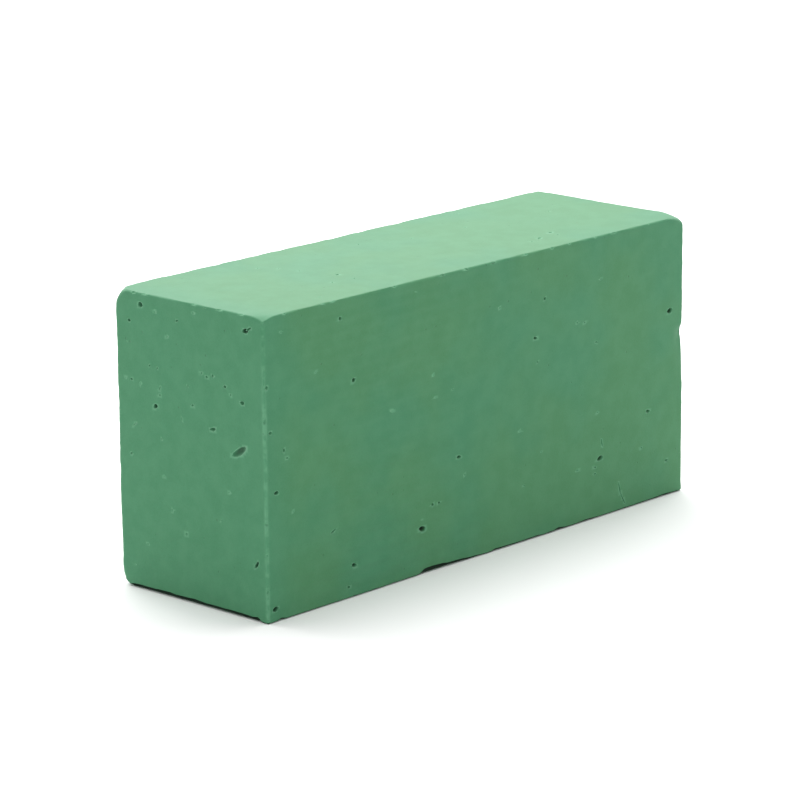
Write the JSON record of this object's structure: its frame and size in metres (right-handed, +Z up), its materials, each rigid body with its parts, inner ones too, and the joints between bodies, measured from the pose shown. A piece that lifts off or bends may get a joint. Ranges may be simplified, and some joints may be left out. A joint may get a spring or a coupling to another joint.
{
  "type": "floral foam brick",
  "caption": "Rectangular block of rigid green floral foam with crisp top edges, worn round corners and a sawn base, for holding cut flower stems.",
  "frame": {"origin": "middle of the 230 x 75 mm face that the brick stands on", "axes": "+X along the brick's 230 mm length, +Y through its 75 mm thickness, +Z up its 110 mm height, from the sawn base to the moulded top"},
  "size_m": [0.23, 0.075, 0.11],
  "materials": {
    "floral_foam": "dry, matt, fine-celled rigid phenolic foam with scattered open pores and crushed pale edges"
  },
  "bodies": {
    "root": {"foam_brick": "floral_foam"}
  },
  "joints": []
}
